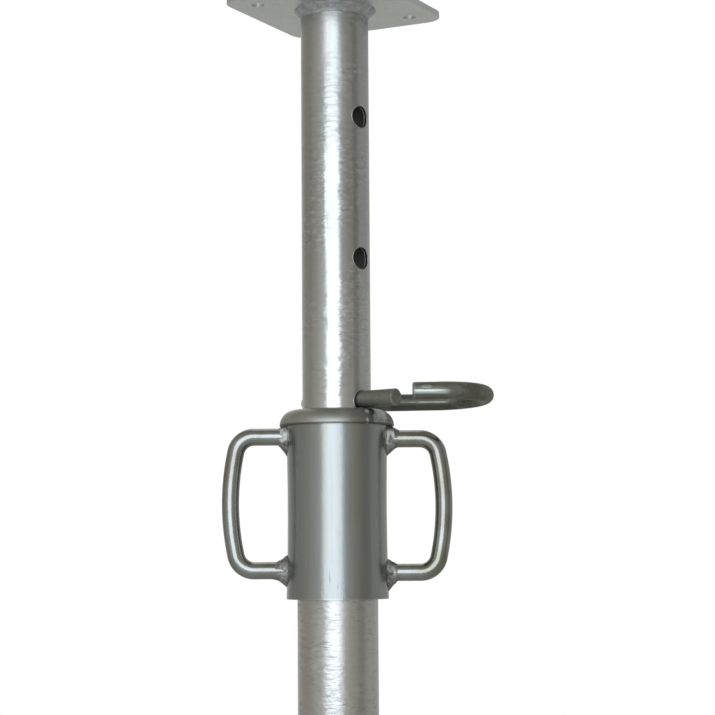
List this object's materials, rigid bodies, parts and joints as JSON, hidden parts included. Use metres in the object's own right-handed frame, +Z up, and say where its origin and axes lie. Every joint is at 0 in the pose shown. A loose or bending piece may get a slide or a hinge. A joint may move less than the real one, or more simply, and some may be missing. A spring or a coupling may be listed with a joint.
{
  "type": "adjustable steel prop",
  "caption": "Telescopic steel support prop with a covered adjusting thread, a bent locking pin, two D handles and square end plates.",
  "frame": {"origin": "centre of the base plate's underside, on the prop's axis", "axes": "+Z up the prop from the base plate to the head plate; the two handles lie along -X (left) and +X (right); -Y is the side that faces the viewer"},
  "size_m": [0.1903, 0.1514, 1.2014],
  "materials": {
    "tube_zinc": "hot-dip galvanised, satin, lightly scuffed",
    "plate_zinc": "hot-dip galvanised, satin",
    "sleeve_zinc": "galvanised, slightly green grey, satin",
    "cap_steel": "zinc plated, dull, slightly brown",
    "handle_zinc": "galvanised round bar, satin",
    "pin_steel": "passivated zinc, olive brown, half gloss",
    "weld_steel": "rough weld bead",
    "thread_steel": "greased rolled thread"
  },
  "bodies": {
    "outer": {"base_plate": "plate_zinc", "base_weld": "weld_steel", "outer_tube": "tube_zinc", "outer_thread": "thread_steel"},
    "cap": {"cap": "cap_steel", "cap_seam_weld": "weld_steel"},
    "sleeve": {"sleeve": "sleeve_zinc", "sleeve_nut": "thread_steel", "nut_thread": "thread_steel", "nut_weld": "weld_steel", "left_handle": "handle_zinc", "right_handle": "handle_zinc", "left_upper_weld": "weld_steel", "left_lower_weld": "weld_steel", "right_upper_weld": "weld_steel", "right_lower_weld": "weld_steel"},
    "inner": {"inner_tube": "tube_zinc", "head_plate": "plate_zinc", "head_weld": "weld_steel"},
    "pin": {"g_pin": "pin_steel"}
  },
  "joints": [
    {"name": "collar_lift", "type": "slide", "parent": "outer", "child": "cap", "axis": [0, 0, 1], "range_m": [0, 0.1]},
    {"name": "sleeve_spin", "type": "hinge", "parent": "cap", "child": "sleeve", "pos_m": [0, 0, 0.84], "axis": [0, 0, 1], "range_deg": [0, 4500]},
    {"name": "inner_tube_slide", "type": "slide", "parent": "cap", "child": "inner", "axis": [0, 0, 1], "range_m": [0, 0.4]},
    {"name": "pin_pull", "type": "slide", "parent": "inner", "child": "pin", "axis": [-0.749, 0.6626, 0], "range_m": [0, 0.036]}
  ],
  "couplings": [
    {"joint": "collar_lift", "follows": "sleeve_spin", "m_per_rad": 0.0012732}
  ]
}
